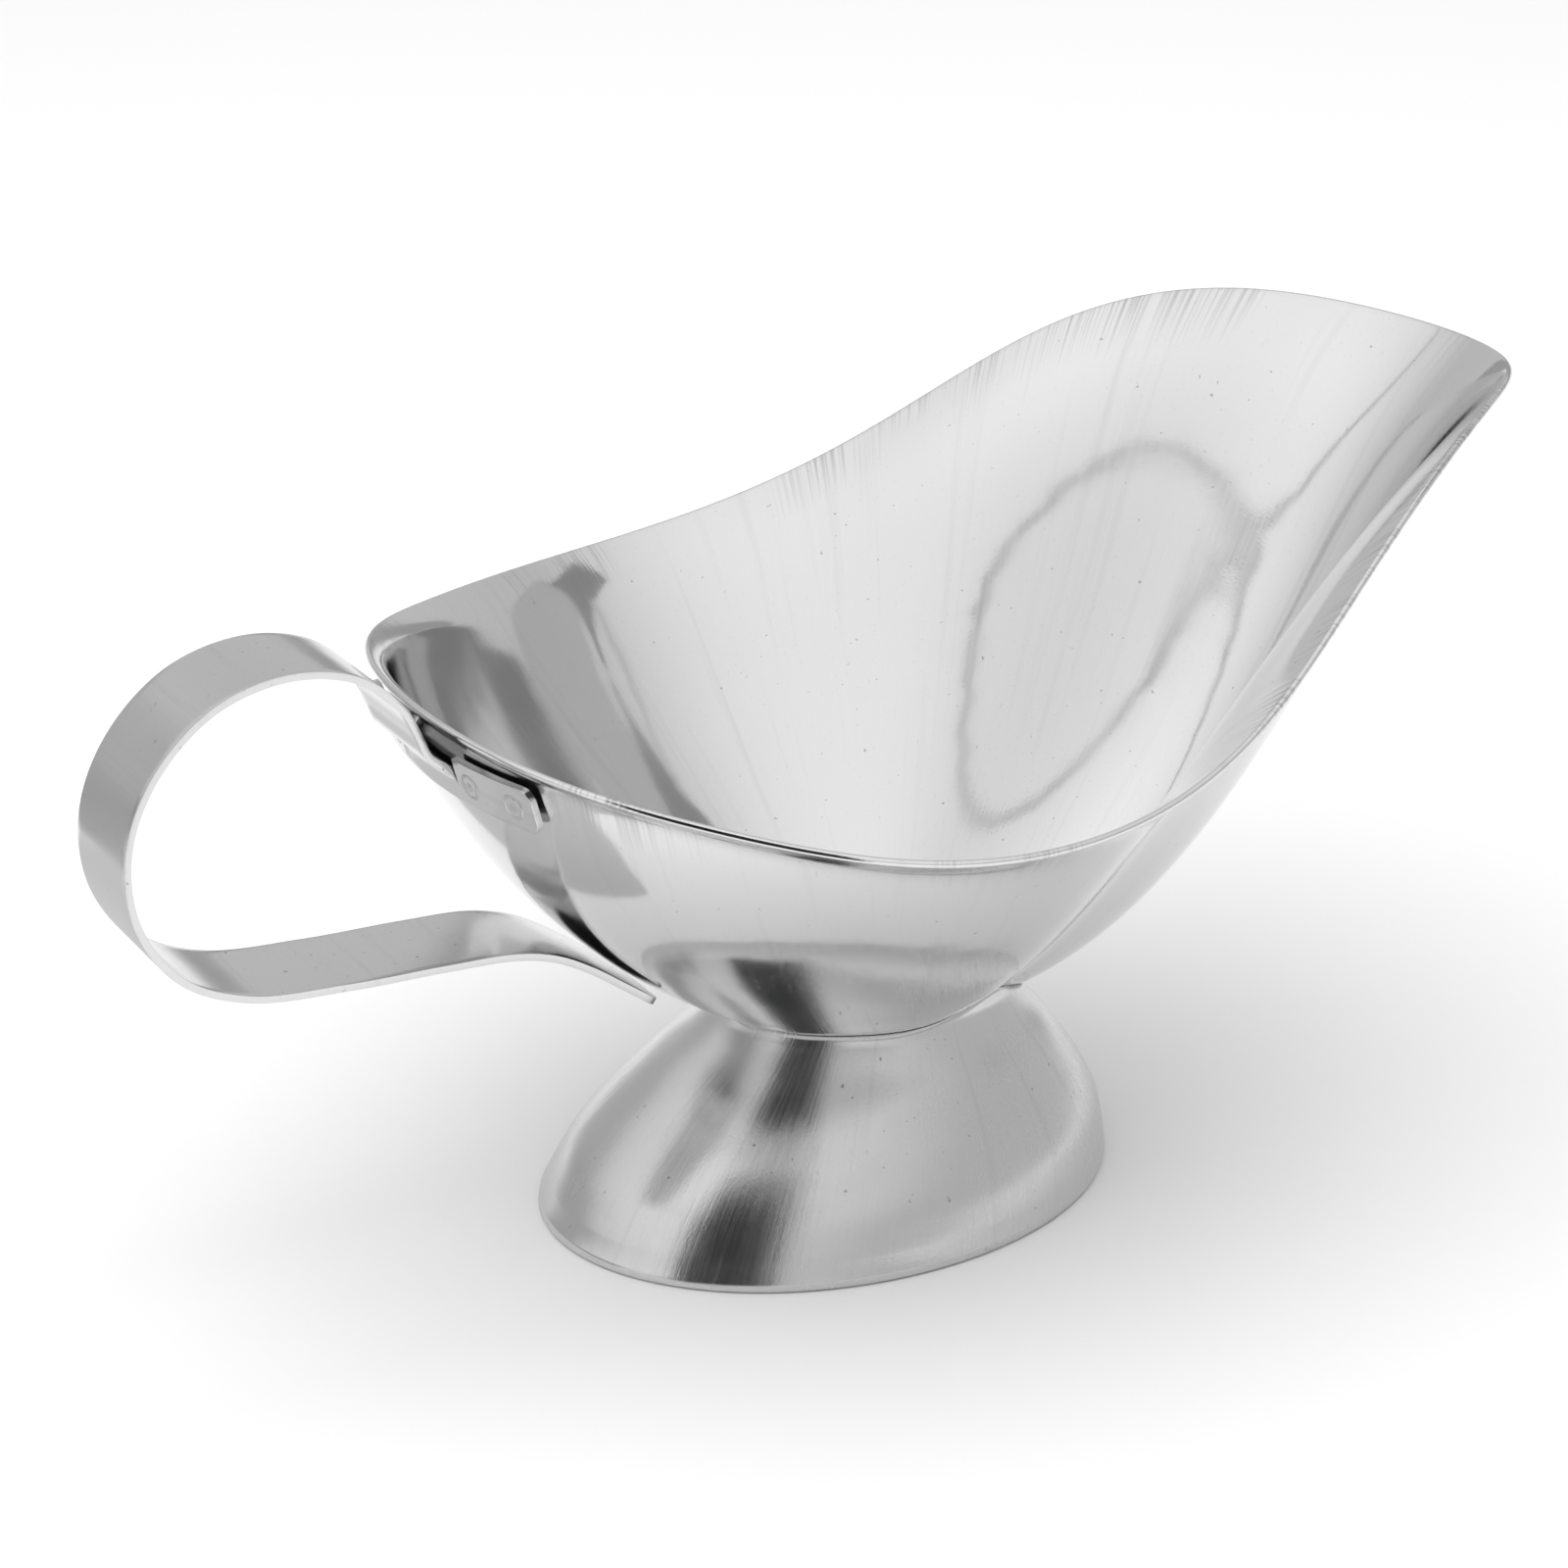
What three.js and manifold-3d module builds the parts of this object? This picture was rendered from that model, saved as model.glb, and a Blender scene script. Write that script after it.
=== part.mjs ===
// A stainless steel sauce boat: a pressed bowl on an oval pedestal foot, with a bent strip handle.
// Millimetres, +Z up, spout towards +X, mirror plane y = 0. The foot stands on z = 0, and the
// origin is below the middle of the whole piece.
import * as THREE from "three";
import { mergeVertices } from "three/addons/utils/BufferGeometryUtils.js";
import Module from "manifold-3d";

// Driving dimensions
const SHEET = 0.8; // sheet of the bowl and of the foot
const GAP = 0.35; // clearance left between two pieces that are welded face to face

// Bowl: its rim from the spout tip to the stern, as [length x, half width y, height z]
const RIM = [
  [85.3, 0, 85.5],
  [82.2, 11.5, 86.0],
  [74.5, 21.1, 87.1],
  [64.9, 28.4, 86.7],
  [55.6, 33.9, 84.1],
  [46.8, 37.9, 79.7],
  [37.5, 41.7, 73.8],
  [26.5, 46.2, 67.2],
  [12.6, 50.4, 61.8],
  [-3.2, 51.3, 59.3],
  [-17.5, 47.2, 59.4],
  [-27.6, 40.5, 60.8],
  [-40.4, 28.4, 63.6],
  [-46.2, 17.0, 64.9],
  [-48.8, 0, 65.6],
];
const BOTTOM_X = 8.6; // lowest point of the bowl, outside
const BOTTOM_Z = 17.6;
const LID_Z = 96; // above the whole bowl, where the body that cuts the foot is closed
const LIP_WIDTH = [3, 1.6, 0]; // the rim flares outwards by this much
const LIP_RISE = 0.8; // height of the flare, as a share of its width
const LIP_SLOPE = 0.55; // slope of the flare at its edge
const SPREAD = [1.022, -0.195, -0.109]; // power that the wall moves outwards by as it climbs
const CLIMB = [2.298, 0.748, -0.245]; // power that the wall climbs by
// Each list of three varies round the bowl: its mean, the spout end over the stern end, and both
// ends over the sides.

// Foot
const FOOT_X = 34; // half length of the base
const FOOT_Y = 26.3; // half width of the base
const NECK_Z = 19;
const NECK_SHIFT = 4.5; // the neck sits this far towards the spout
const FOOT_TOP = 30; // the foot's sides are drawn up to here, then cut by the bowl
// Share of the base outline, and height
const FOOT_PROFILE = [
  [1, 0],
  [0.974, 3.4],
  [0.925, 7],
  [0.85, 10.4],
  [0.77, 13.4],
  [0.69, 16.2],
  [0.6, NECK_Z],
  [0.52, 22],
];
const RING_WIDTH = 2.4; // flat ring that the foot stands on
const RING_THICK = 0.9;
const RING_STEP = 0.3; // the side's foot stands this far in from its inner face
const FOOT_WALL = 1; // the sheet measured level, on sides that lean about 50 degrees
const FOOT_TOP_IN = 0.06; // share that the sides draw in above the profile's last point

// Handle: one strip with a cross tab, and the middle line of its bends in the plane y = 0, from
// the tab under the lip, up and round the finger loop, to the tail on the belly
const STRIP = 0.8;
const STRIP_WIDTH = 12.6;
const TAB_BOTTOM = 57.8;
const TAB_TOP = 62.7;
const TAB_REACH = 18.5; // half length of the tab, across the stern
const TAB_RADIUS = 56; // the tab is bent a little flatter than the bowl
const TAB_FACE = -47.55; // x of the tab's inner face at its top, in the plane y = 0
const TAB_LEAN = 0.26; // the tab leans in by this much for each unit down
const TAB_CORNER = 1.2; // radius of its corners
const HANDLE_PATH = [
  [-46.68, TAB_BOTTOM],
  [-47.3, 60.2],
  [-48.5, 61.6],
  [-50.1, 63.0],
  [-51.2, 65.6],
  [-53.0, 69.0],
  [-57.8, 73.0],
  [-65.0, 74.5],
  [-72.8, 72.6],
  [-79.2, 67.0],
  [-82.5, 59.8],
  [-82.2, 51.8],
  [-78.0, 44.8],
  [-71.0, 41.1],
  [-60.0, 39.8],
  [-49.0, 39.3],
  [-41.0, 38.7],
  [-36.4, 37.4],
  [-32.3, 35.1],
  [-28.1, 32.05],
  [-24.2, 29.15],
];

// Spot welds, each a button of metal in a hole of the piece that is welded on
const WELD_RADIUS = 1.3;
const WELD_HOLE = 1.65;
const WELD_DEPTH = 3; // reach of the cut to each side
const TAB_WELD_Y = { inner: 8.8, outer: 15.6 };
const TAIL_WELD_SHARE = { upper: 0.955, lower: 0.98 }; // share of the strip's length
const FOOT_WELD_X = { stern: -1, spout: 15 };
const FOOT_WELD_Y = 7;

// Fineness of the faceted surfaces
const AROUND = 64;
const UP_BOWL = 14;
const UP_LIP = 3;
const UP_FOOT = 9;
const ALONG_STRIP = 84;
const ALONG_TAB = 36;
const WELD_SIDES = 16;
const CURVE_STEPS = 2000; // for even spacing along the rim
const TINY = 0.001;

const wasm = await Module();
wasm.setup();
const { Manifold, Mesh } = wasm;

// ---- closed surfaces and solids ----

// A closed surface through a list of rings with equal numbers of points. The first and the last
// ring may be a single point; otherwise the last ring joins the first.
function closedSurface(rings) {
  const points = rings.flat();
  const starts = [];
  let count = 0;
  for (const ring of rings) {
    starts.push(count);
    count += ring.length;
  }
  const faces = [];
  const join = (a, b) => {
    const n = Math.max(rings[a].length, rings[b].length);
    const at = (r, i) => starts[r] + (rings[r].length === 1 ? 0 : i % n);
    for (let i = 0; i < n; i++) {
      if (rings[b].length > 1) faces.push(at(a, i), at(b, i + 1), at(b, i));
      if (rings[a].length > 1) faces.push(at(a, i), at(a, i + 1), at(b, i + 1));
    }
  };
  for (let r = 1; r < rings.length; r++) join(r - 1, r);
  if (rings[0].length > 1) join(rings.length - 1, 0);
  const geometry = new THREE.BufferGeometry().setFromPoints(points);
  geometry.setIndex(faces);
  return geometry;
}

function toSolid(geometry) {
  const bare = geometry.clone();
  bare.deleteAttribute("normal");
  bare.deleteAttribute("uv");
  const merged = mergeVertices(bare, 1e-4);
  return new Manifold(new Mesh({
    numProp: 3,
    vertProperties: new Float32Array(merged.attributes.position.array),
    triVerts: new Uint32Array(merged.index.array),
  }));
}

function toGeometry(solid) {
  const mesh = solid.getMesh();
  const geometry = new THREE.BufferGeometry();
  geometry.setAttribute("position", new THREE.BufferAttribute(mesh.vertProperties, 3));
  geometry.setIndex(new THREE.BufferAttribute(mesh.triVerts, 1));
  const flat = geometry.toNonIndexed();
  flat.computeVertexNormals();
  return flat;
}

// A round bar between two points.
function bar(from, to, radius) {
  const way = to.clone().sub(from);
  const geometry = new THREE.CylinderGeometry(radius, radius, way.length(), WELD_SIDES);
  const up = new THREE.Vector3(0, 1, 0);
  geometry.applyQuaternion(new THREE.Quaternion().setFromUnitVectors(up, way.normalize()));
  const middle = from.clone().lerp(to, 0.5);
  geometry.translate(middle.x, middle.y, middle.z);
  return toSolid(geometry);
}

// ---- bowl ----

const mirrored = RIM.slice(1, -1).reverse().map(([x, y, z]) => [x, -y, z]);
const rimCurve = new THREE.CatmullRomCurve3(
  [...RIM, ...mirrored].map((p) => new THREE.Vector3(...p)), true, "centripetal");
rimCurve.arcLengthDivisions = CURVE_STEPS;
const rimPoints = rimCurve.getSpacedPoints(AROUND).slice(0, AROUND);

const varying = ([mean, once, twice], round) =>
  mean + once * Math.cos(round) + twice * Math.cos(2 * round);

// Outside of the bowl below its rim point i. Below 1, share runs up the wall from the bottom;
// from 1 to 2 it runs out along the lip. The spout climbs late and the stern climbs early.
function bowlPoint(i, share) {
  const rim = rimPoints[i];
  const round = (2 * Math.PI * i) / AROUND;
  const reach = new THREE.Vector2(rim.x - BOTTOM_X, rim.y);
  const length = reach.length();
  const lip = varying(LIP_WIDTH, round);
  if (share > 1) {
    const t = share - 1;
    const drop = lip * (1 - t) * (LIP_RISE * (1 - t) + 2 * LIP_SLOPE * t);
    reach.setLength(length - lip * (1 - t * t));
    return new THREE.Vector3(BOTTOM_X + reach.x, reach.y, rim.z - drop);
  }
  const turn = (share * Math.PI) / 2;
  reach.setLength((length - lip) * Math.sin(turn) ** varying(SPREAD, round));
  const rise = 1 - Math.cos(turn) ** varying(CLIMB, round);
  const top = rim.z - LIP_RISE * lip;
  return new THREE.Vector3(BOTTOM_X + reach.x, reach.y, BOTTOM_Z + (top - BOTTOM_Z) * rise);
}

// Rings of the bowl's outside at the given shares, moved out along the surface by grow.
function bowlRings(shares, grow) {
  const grid = shares.map((share) => rimPoints.map((_, i) => bowlPoint(i, share)));
  if (grow === 0) return grid;
  return grid.map((ring, r) => ring.map((point, i) => {
    const along = grid[r][(i + 1) % AROUND].clone().sub(grid[r][(i + AROUND - 1) % AROUND]);
    const above = grid[Math.min(r + 1, grid.length - 1)][i];
    const below = grid[Math.max(r - 1, 0)][i];
    const normal = along.cross(above.clone().sub(below)).normalize();
    return point.clone().addScaledVector(normal, grow);
  }));
}

const bowlShares = [];
for (let k = 1; k <= UP_BOWL; k++) bowlShares.push(k / UP_BOWL);
for (let k = 1; k <= UP_LIP; k++) bowlShares.push(1 + k / UP_LIP);

const bowlBottom = (grow) => [new THREE.Vector3(BOTTOM_X, 0, BOTTOM_Z - grow)];

function bowlShell() {
  const outside = bowlRings(bowlShares, 0);
  const inside = bowlRings(bowlShares, -SHEET);
  return closedSurface([bowlBottom(0), ...outside, ...inside.reverse(), bowlBottom(-SHEET)]);
}

// The lower bowl as a full body, grown by a clearance, for cutting what lies against it.
function bowlCutter(grow) {
  const wall = bowlShares.filter((share) => share <= 1);
  const lid = [new THREE.Vector3(BOTTOM_X, 0, LID_Z)];
  return toSolid(closedSurface([bowlBottom(grow), ...bowlRings(wall, grow), lid]));
}

// ---- foot ----

function footRing(share, inset, z) {
  const ring = [];
  for (let i = 0; i < AROUND; i++) {
    const round = (2 * Math.PI * i) / AROUND;
    const x = (FOOT_X * share - inset) * Math.cos(round) + (NECK_SHIFT * z) / NECK_Z;
    ring.push(new THREE.Vector3(x, (FOOT_Y * share - inset) * Math.sin(round), z));
  }
  return ring;
}

const footCurve = new THREE.SplineCurve(
  FOOT_PROFILE.slice(1).map((p) => new THREE.Vector2(...p)));
const footLine = [
  new THREE.Vector2(...FOOT_PROFILE[0]),
  ...footCurve.getPoints(UP_FOOT),
  new THREE.Vector2(FOOT_PROFILE.at(-1)[0] - FOOT_TOP_IN, FOOT_TOP),
];

// The foot's full body, its sides moved in by inset.
function footBody(rings) {
  const low = rings[0];
  const high = rings.at(-1);
  const centre = (ring) => [new THREE.Vector3((ring[0].x + ring[AROUND / 2].x) / 2, 0, ring[0].z)];
  return toSolid(closedSurface([centre(low), ...rings, centre(high)]));
}

function footShell() {
  const outside = footBody(footLine.map((p) => footRing(p.x, 0, p.y)));
  const above = footLine.filter((p) => p.y > RING_THICK);
  const hollow = footBody([
    footRing(1, RING_WIDTH, -RING_THICK),
    footRing(1, RING_WIDTH, RING_THICK),
    footRing(1, FOOT_WALL + RING_STEP, RING_THICK + TINY),
    ...above.map((p) => footRing(p.x, FOOT_WALL, p.y)),
  ]);
  return outside.subtract(bowlCutter(GAP)).subtract(hollow.subtract(bowlCutter(GAP + SHEET)));
}

// ---- handle ----

const pathCurve = new THREE.SplineCurve(HANDLE_PATH.map((p) => new THREE.Vector2(...p)));

function strip() {
  const line = pathCurve.getSpacedPoints(ALONG_STRIP);
  const sides = [1, -1].map((side) => line.map((point, i) => {
    const way = pathCurve.getTangentAt(i / ALONG_STRIP);
    return new THREE.Vector2(-way.y, way.x).multiplyScalar((side * STRIP) / 2).add(point);
  }));
  const outline = new THREE.Shape([...sides[0], ...sides[1].reverse()]);
  const geometry = new THREE.ExtrudeGeometry(outline,
    { depth: STRIP_WIDTH, bevelEnabled: false });
  geometry.rotateX(Math.PI / 2);
  geometry.translate(0, STRIP_WIDTH / 2, 0);
  return toSolid(geometry);
}

// x of the tab's inner face.
const tabX = (y, z) => TAB_FACE + TAB_LEAN * (TAB_TOP - z) + y ** 2 / (2 * TAB_RADIUS);

// The cross tab: a flat strip with rounded ends, bent round the stern below the lip.
function tab() {
  const middle = (TAB_TOP + TAB_BOTTOM) / 2;
  const straight = TAB_REACH - TAB_CORNER;
  const rings = [];
  for (let i = 0; i <= ALONG_TAB; i++) {
    const y = -TAB_REACH * Math.cos((Math.PI * i) / ALONG_TAB);
    const past = Math.max(0, Math.abs(y) - straight) * (1 - TINY);
    const half = TAB_TOP - middle - TAB_CORNER + Math.sqrt(TAB_CORNER ** 2 - past ** 2);
    const low = middle - half;
    const high = middle + half;
    rings.push([
      new THREE.Vector3(tabX(y, low), y, low),
      new THREE.Vector3(tabX(y, low) - STRIP, y, low),
      new THREE.Vector3(tabX(y, high) - STRIP, y, high),
      new THREE.Vector3(tabX(y, high), y, high),
    ]);
  }
  const centre = (ring) => {
    const sum = ring.reduce((a, b) => a.clone().add(b), new THREE.Vector3());
    return [sum.multiplyScalar(1 / ring.length)];
  };
  return toSolid(closedSurface([centre(rings[0]), ...rings, centre(rings.at(-1))]));
}

// ---- spot welds ----

// Where each weld is: the piece that is welded on, a point in its sheet, and the way through it.
function weldSpots() {
  const spots = {};
  const sides = { left: 1, right: -1 };
  const tabMiddle = (TAB_TOP + TAB_BOTTOM) / 2;
  for (const [side, sign] of Object.entries(sides)) {
    for (const [place, y] of Object.entries(TAB_WELD_Y)) {
      spots[`tab_weld_${side}_${place}`] = {
        piece: "handle",
        at: new THREE.Vector3(tabX(y, tabMiddle), sign * y, tabMiddle),
        through: new THREE.Vector3(-TAB_RADIUS, sign * y, 0),
      };
    }
    for (const [place, x] of Object.entries(FOOT_WELD_X)) {
      spots[`foot_weld_${side}_${place}`] = {
        piece: "foot",
        at: new THREE.Vector3(x, sign * FOOT_WELD_Y, BOTTOM_Z),
        through: new THREE.Vector3(0, 0, 1),
      };
    }
  }
  for (const [place, share] of Object.entries(TAIL_WELD_SHARE)) {
    const at = pathCurve.getPointAt(share);
    const way = pathCurve.getTangentAt(share);
    spots[`tail_weld_${place}`] = {
      piece: "handle",
      at: new THREE.Vector3(at.x, 0, at.y),
      through: new THREE.Vector3(-way.y, 0, way.x),
    };
  }
  return spots;
}

// Each weld is a button cut from the sheet itself, in a slightly larger hole.
function weld(solids, name, { piece, at, through }) {
  const reach = through.clone().setLength(WELD_DEPTH);
  const from = at.clone().sub(reach);
  const to = at.clone().add(reach);
  const sheet = solids[piece];
  solids[name] = sheet.intersect(bar(from, to, WELD_RADIUS));
  solids[piece] = sheet.subtract(bar(from, to, WELD_HOLE));
}

// ---- assembly ----

const solids = { bowl: toSolid(bowlShell()), foot: footShell(), handle: strip().add(tab()) };
for (const [name, spot] of Object.entries(weldSpots())) weld(solids, name, spot);

const steel = (color, roughness) =>
  new THREE.MeshStandardMaterial({ color, roughness, metalness: 1 });
const finishes = {
  bowl: () => steel(0xd8d8d6, 0.12),
  foot: () => steel(0xc9c9c7, 0.3),
  handle: () => steel(0xbdbdba, 0.34),
};
const weldFinish = () => steel(0xa8a8a5, 0.42);

const boat = new THREE.Group();
for (const [name, solid] of Object.entries(solids)) {
  const mesh = new THREE.Mesh(toGeometry(solid), (finishes[name] ?? weldFinish)());
  mesh.name = name;
  boat.add(mesh);
}
const box = new THREE.Box3().setFromObject(boat);
boat.position.x = -(box.min.x + box.max.x) / 2;

export default boat;
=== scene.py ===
"""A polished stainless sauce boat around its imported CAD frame: bowl, foot and strip handle."""
import math
import bpy
import numpy as np
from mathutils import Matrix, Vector
from mathutils.bvhtree import BVHTree


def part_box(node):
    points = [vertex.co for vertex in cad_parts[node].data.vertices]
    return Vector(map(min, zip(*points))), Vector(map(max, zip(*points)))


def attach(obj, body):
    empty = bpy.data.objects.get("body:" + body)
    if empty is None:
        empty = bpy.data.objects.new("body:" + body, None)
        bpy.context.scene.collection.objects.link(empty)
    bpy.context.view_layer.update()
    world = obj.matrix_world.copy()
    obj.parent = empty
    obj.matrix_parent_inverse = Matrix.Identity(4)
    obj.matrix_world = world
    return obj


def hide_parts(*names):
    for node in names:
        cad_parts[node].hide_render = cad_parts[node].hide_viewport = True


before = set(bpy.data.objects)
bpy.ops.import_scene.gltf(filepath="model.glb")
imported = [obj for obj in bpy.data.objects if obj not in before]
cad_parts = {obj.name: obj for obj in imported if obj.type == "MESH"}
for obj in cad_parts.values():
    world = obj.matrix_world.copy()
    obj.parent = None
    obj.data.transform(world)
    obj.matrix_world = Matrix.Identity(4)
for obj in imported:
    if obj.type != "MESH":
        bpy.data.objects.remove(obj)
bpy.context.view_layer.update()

MM = 0.001

# ---- sizes in millimetres, as in the part's own design except where a note says so ----
SHEET = 0.8
FOOT_WALL = 1.0
WELD_GAP = 0.06  # the visual pieces meet closer than the CAD solids do
# x, y and z along one side of the rim, from the spout's tip to the stern
RIM = [
    (85.3, 0, 85.5), (82.2, 11.5, 86.0), (74.5, 21.1, 87.1), (64.9, 28.4, 86.7),
    (55.6, 33.9, 84.1), (46.8, 37.9, 79.7), (37.5, 41.7, 73.8), (26.5, 46.2, 67.2),
    (12.6, 50.4, 61.8), (-3.2, 51.3, 59.3), (-17.5, 47.2, 59.4), (-27.6, 40.5, 60.8),
    (-40.4, 28.4, 63.6), (-46.2, 17.0, 64.9), (-48.8, 0, 65.6),
]
BOTTOM_X, BOTTOM_Z = 8.6, 17.6  # the lowest point of the bowl
# each of these varies round the bowl: mean, spout end over stern end, both ends over the sides
LIP_WIDTH = (3.0, 1.6, 0.0)
SPREAD = (1.022, -0.195, -0.109)
CLIMB = (2.298, 0.748, -0.245)
LIP_RISE, LIP_SLOPE = 0.8, 0.55
FOOT_X, FOOT_Y = 34.0, 26.3
NECK_Z, NECK_SHIFT, FOOT_TOP, FOOT_TOP_IN = 19.0, 4.5, 30.0, 0.06
# share of the foot's oval at each height, from the crease up
FOOT_PROFILE = [
    (0.974, 3.4), (0.925, 7), (0.85, 10.4), (0.77, 13.4), (0.69, 16.2), (0.6, NECK_Z), (0.52, 22),
]
RING_WIDTH, RING_THICK = 2.4, 0.9
STRIP, STRIP_WIDTH = 0.8, 12.6
# x and z of the strip's middle, from the tab's lower edge round the loop to the tail's end
HANDLE_PATH = [
    (-46.68, 57.8), (-47.3, 60.2), (-48.5, 61.6), (-50.1, 63.0), (-51.2, 65.6), (-53.0, 69.0),
    (-57.8, 73.0), (-65.0, 74.5), (-72.8, 72.6), (-79.2, 67.0), (-82.5, 59.8), (-82.2, 51.8),
    (-78.0, 44.8), (-71.0, 41.1), (-60.0, 39.8), (-49.0, 39.3), (-41.0, 38.7), (-36.4, 37.4),
    (-32.3, 35.1), (-28.1, 32.05), (-24.2, 29.15),
]
TAB_BOTTOM, TAB_TOP, TAB_REACH, TAB_RADIUS = 57.8, 62.7, 18.5, 56.0
TAB_FACE, TAB_LEAN = -47.55, 0.26
TAB_CORNER = 1.3  # the CAD's is 1.2
JOINED = 1.7  # this much of the strip's start is one with the tab
CURL_END = 6.0  # the strip is flat this far past the tab
TAIL_CORNER = 1.6
EDGE_ROUND = 0.2
WELD_RADIUS = 1.15  # of the mark's raised ring; the CAD's button is 1.3
# share of a weld mark's radius, and height above the sheet
WELD_PROFILE = [
    (1.3, -0.15), (1.26, 0.0), (1.18, 0.07), (1.08, 0.1), (0.98, 0.06), (0.9, -0.02), (0.6, -0.01),
    (0.3, 0.01),
]
WELD_MIDDLE, WELD_BACK = 0.015, 0.2  # height of its middle, and depth of its back
TAB_WELD_Y = {"inner": 8.8, "outer": 15.6}
FOOT_WELD_X, FOOT_WELD_Y = {"stern": -1, "spout": 15}, 7
TAIL_WELD_SHARE = {"upper": 0.955, "lower": 0.98}

# ---- fineness of the meshes ----
RIM_SPAN, FOOT_SPAN, PATH_SPAN = 40, 14, 24  # steps between two of the points given above
AROUND = 320
UP_WALL, UP_LIP, UP_ROWS = 84, 12, 130
RIM_WAVES = 14
EDGE_STEPS = 9
UNDER_ROWS = 60
FOOT_AROUND = 240
PATH_STEPS = 420
WELD_AROUND = 40

shift = Vector((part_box("foot")[0].x + FOOT_X * MM, 0, 0))  # from the design's x to the frame's x


# ---- mesh tools ----

def blend(first, second, start, end, at):
    """Straight-line blend from first at start to second at end."""
    return ((end - at) * first + (at - start) * second) / (end - start)


def catmull(points, per, closed):
    """Centripetal Catmull-Rom through the points, per samples to each span."""
    p = np.array(points, float)
    n = len(p)
    if closed:
        ext = np.vstack([p[-1:], p, p[:2]])
    else:
        ext = np.vstack([2 * p[:1] - p[1:2], p, 2 * p[-1:] - p[-2:-1]])
    spans = n if closed else n - 1
    out = []
    for k in range(spans):
        q = ext[k:k + 4]
        knot = np.r_[0, np.cumsum(np.linalg.norm(np.diff(q, axis=0), axis=1) ** 0.5)]
        for t in np.linspace(knot[1], knot[2], per, endpoint=False):
            a = [blend(q[i], q[i + 1], knot[i], knot[i + 1], t) for i in range(3)]
            b = [blend(a[i], a[i + 1], knot[i], knot[i + 2], t) for i in range(2)]
            out.append(blend(b[0], b[1], knot[1], knot[2], t))
    if not closed:
        out.append(p[-1])
    return np.array(out)


def even(line, count, closed):
    """count points at even distances along a polyline, and its length."""
    ring = np.vstack([line, line[:1]]) if closed else line
    run = np.r_[0, np.cumsum(np.linalg.norm(np.diff(ring, axis=0), axis=1))]
    at = np.linspace(0, run[-1], count, endpoint=not closed)
    return np.stack([np.interp(at, run, ring[:, k]) for k in range(ring.shape[1])], 1), run[-1]


def soften(ring, keep):
    """Takes the fine ripple out of a closed ring of points, leaving about keep waves."""
    waves = np.fft.rfft(ring, axis=0)
    order = np.arange(len(waves))[:, None]
    return np.fft.irfft(waves * np.exp(-(order / keep) ** 4), n=len(ring), axis=0)


def grid_normals(grid):
    """Unit normals of a grid of points, rows along its length and columns all the way round it."""
    around = np.roll(grid, -1, 1) - np.roll(grid, 1, 1)
    along = np.gradient(grid, axis=0)
    normal = np.cross(around, along)
    return normal / np.maximum(np.linalg.norm(normal, axis=2, keepdims=True), 1e-12)


def mesh_object(name, points, faces, uv=None):
    mesh = bpy.data.meshes.new(name)
    mesh.from_pydata([tuple(p) for p in points], [], faces)
    if uv is not None:
        layer = mesh.uv_layers.new(name="surface")
        for loop in mesh.loops:
            layer.data[loop.index].uv = uv[loop.vertex_index]
    mesh.shade_smooth()
    mesh.validate()
    obj = bpy.data.objects.new(name, mesh)
    bpy.context.scene.collection.objects.link(obj)
    return obj


def rings_object(name, rings, start, end):
    """A closed skin over rings of points, ending in the points start and end. Its uv is in
    metres: u goes round the rings, from 0 at their middle, and v from ring to ring."""
    grid = np.array(rings)
    rows, count, _ = grid.shape
    points = np.vstack([[start], grid.reshape(-1, 3), [end]])
    faces = []
    last = len(points) - 1
    for i in range(count):
        j = (i + 1) % count
        faces.append((0, 1 + j, 1 + i))
        faces.append((last, 1 + (rows - 1) * count + i, 1 + (rows - 1) * count + j))
        for r in range(rows - 1):
            a, b = 1 + r * count, 1 + (r + 1) * count
            faces.append((a + i, a + j, b + j, b + i))
    step = np.linalg.norm(np.diff(grid, axis=0), axis=2).mean(1)
    along = np.r_[0, np.cumsum(step)]
    width = np.linalg.norm(np.roll(grid, -1, 1) - grid, axis=2).sum(1).max()
    u = np.tile(np.abs(np.arange(count) / count - 0.5) * width, (rows, 1))
    v = np.tile(along[:, None], (1, count))
    uv = np.vstack([[[0, 0]], np.stack([u, v], 2).reshape(-1, 2), [[0, along[-1]]]]) * MM
    return mesh_object(name, points, faces, uv)


def place(obj):
    """Design millimetres to frame metres, in the mesh."""
    for vertex in obj.data.vertices:
        vertex.co = vertex.co * MM + shift


def apply(obj):
    """Puts the shape that the modifiers make in place of the mesh."""
    depsgraph = bpy.context.evaluated_depsgraph_get()
    made = bpy.data.meshes.new_from_object(obj.evaluated_get(depsgraph))
    obj.modifiers.clear()
    obj.data = made


# ---- bowl ----

mirror = [(x, -y, z) for x, y, z in RIM[-2:0:-1]]
rim_line, _ = even(catmull(RIM + mirror, RIM_SPAN, True), AROUND, True)
rim = soften(rim_line, RIM_WAVES)


def smooth_step(x):
    x = np.clip(x, 0, 1)
    return x * x * (3 - 2 * x)


def varying(terms, angle):
    """A measure that changes round the bowl; angle is 0 at the spout."""
    return terms[0] + terms[1] * np.cos(angle) + terms[2] * np.cos(2 * angle)


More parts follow.
